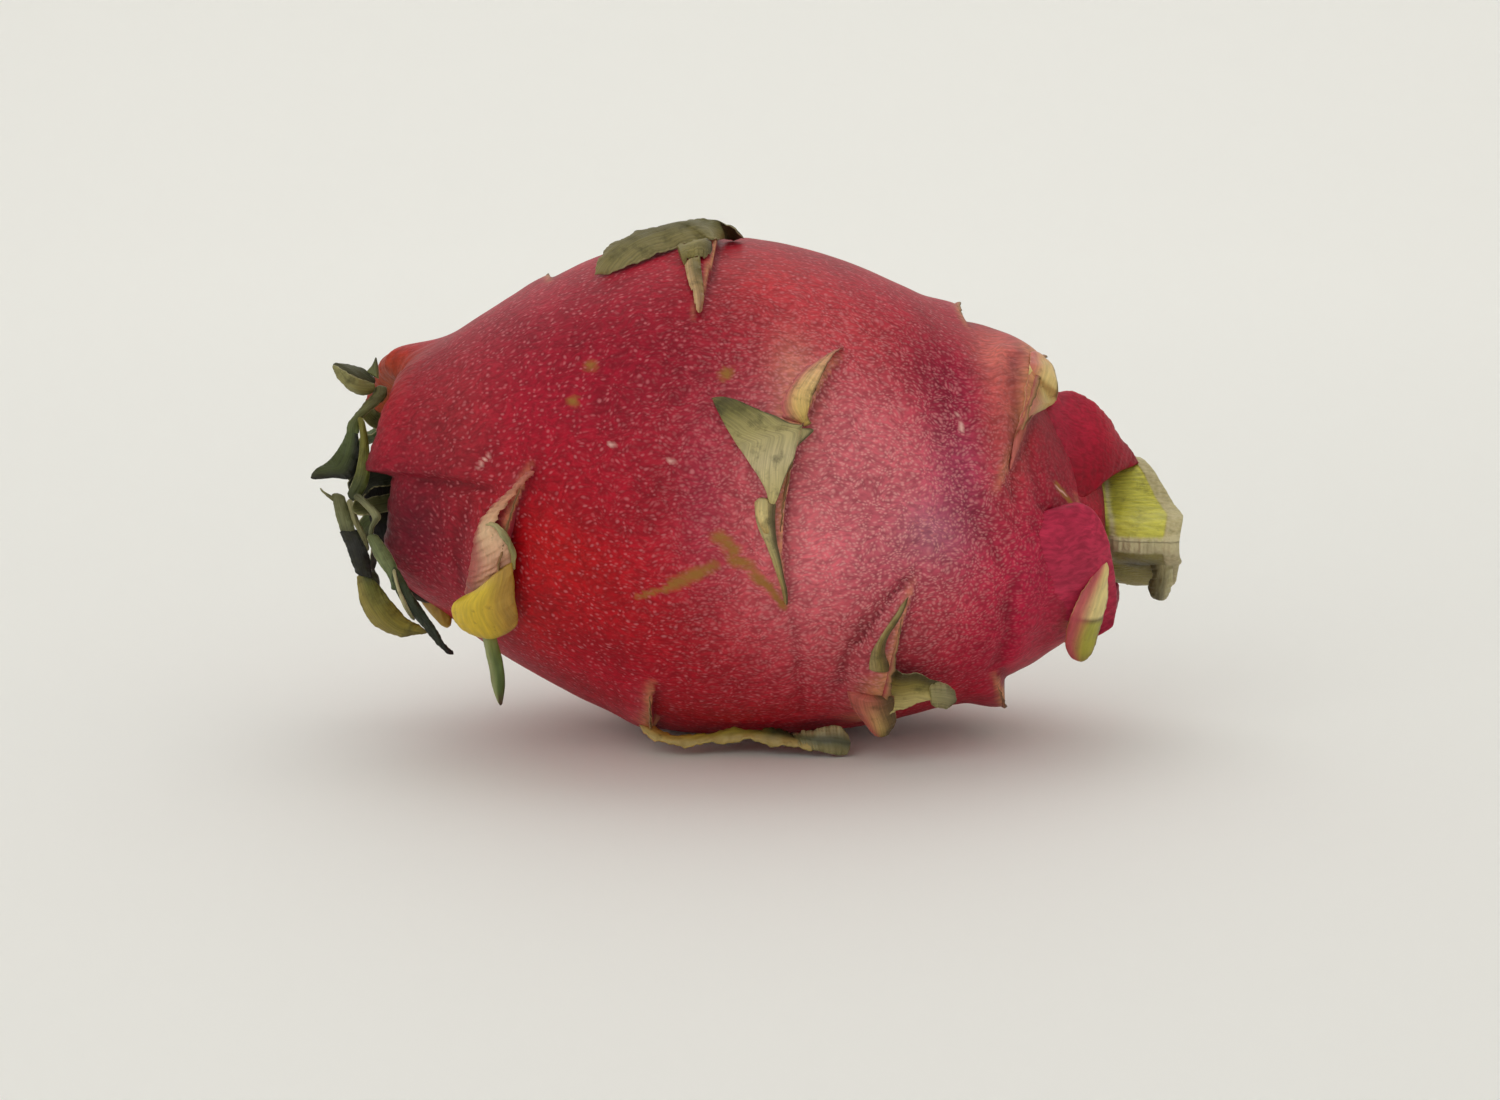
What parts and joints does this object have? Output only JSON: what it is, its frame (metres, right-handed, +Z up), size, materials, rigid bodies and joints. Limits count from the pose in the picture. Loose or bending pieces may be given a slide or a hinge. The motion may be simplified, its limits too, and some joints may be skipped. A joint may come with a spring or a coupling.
{
  "type": "dragon fruit",
  "caption": "Whole red-skinned dragon fruit lying on its side, with green-tipped scales, a tuft of dried leaves at the navel and a short cut piece of stem.",
  "frame": {"origin": "bottom centre of the object's bounding box, on the surface that the fruit rests on", "axes": "+X along the fruit from its navel to its cut stem, +Y to the far side, away from the picture's viewer, +Z up"},
  "size_m": [0.1422, 0.0858, 0.0851],
  "materials": {
    "fruit_skin": "satin",
    "dried_leaf": "matte",
    "stem_rind": "matte"
  },
  "bodies": {
    "root": {"fruit": "fruit_skin", "crown": "dried_leaf", "stem": "stem_rind"}
  },
  "joints": []
}
